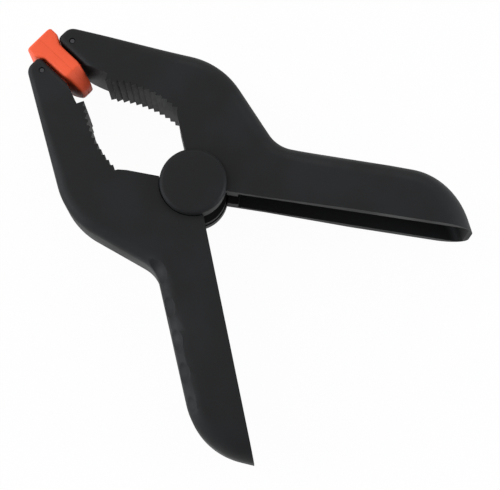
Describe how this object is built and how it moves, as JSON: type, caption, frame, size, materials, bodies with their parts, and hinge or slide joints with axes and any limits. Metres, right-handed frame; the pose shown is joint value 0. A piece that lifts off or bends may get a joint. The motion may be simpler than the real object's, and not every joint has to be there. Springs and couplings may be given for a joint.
{
  "type": "spring clamp",
  "caption": "Hand spring clamp with serrated jaws, rocking orange pads at the jaw tips, open channel handles and a torsion spring hidden in the hub.",
  "frame": {"origin": "on the hinge axis, in the plane on which the clamp lies: the lower hub disc and the lower faces of both handles", "axes": "+Z along the hinge axis, up when the clamp lies on its side; +X from the hinge to the jaw tips along the closed clamp's middle; +Y towards the inner arm's jaw and handle"},
  "size_m": [0.1597, 0.1224, 0.028],
  "materials": {
    "nylon": "black moulded nylon with a fine satin grain",
    "pad": "orange satin plastic",
    "pin_steel": "blackened steel, ends lightly chamfered",
    "spring_steel": "oiled spring wire"
  },
  "bodies": {
    "outer_arm_body": {"outer_arm": "nylon", "hinge_pin": "pin_steel", "torsion_spring": "spring_steel", "outer_pad_pin": "pin_steel"},
    "inner_arm_body": {"inner_arm": "nylon", "inner_pad_pin": "pin_steel"},
    "outer_pad_body": {"outer_jaw_pad": "pad"},
    "inner_pad_body": {"inner_jaw_pad": "pad"}
  },
  "joints": [
    {"name": "arm_hinge", "type": "hinge", "parent": "outer_arm_body", "child": "inner_arm_body", "pos_m": [0, 0, 0.014], "axis": [0, 0, 1], "range_deg": [0, 42], "stiffness_Nm_per_rad": 1.75, "springref_deg": -45.84, "deforming": ["torsion_spring"]},
    {"name": "outer_pad_hinge", "type": "hinge", "parent": "outer_arm_body", "child": "outer_pad_body", "pos_m": [0.0675, -0.0076, 0.014], "axis": [0, 0, 1], "range_deg": [0, 7]},
    {"name": "inner_pad_hinge", "type": "hinge", "parent": "inner_arm_body", "child": "inner_pad_body", "pos_m": [0.0675, 0.0076, 0.014], "axis": [0, 0, 1], "range_deg": [-7, 0]}
  ],
  "couplings": [
    {"joint": "outer_pad_hinge", "follows": "arm_hinge", "ratio": 0.16666},
    {"joint": "inner_pad_hinge", "follows": "arm_hinge", "ratio": -0.16666}
  ]
}
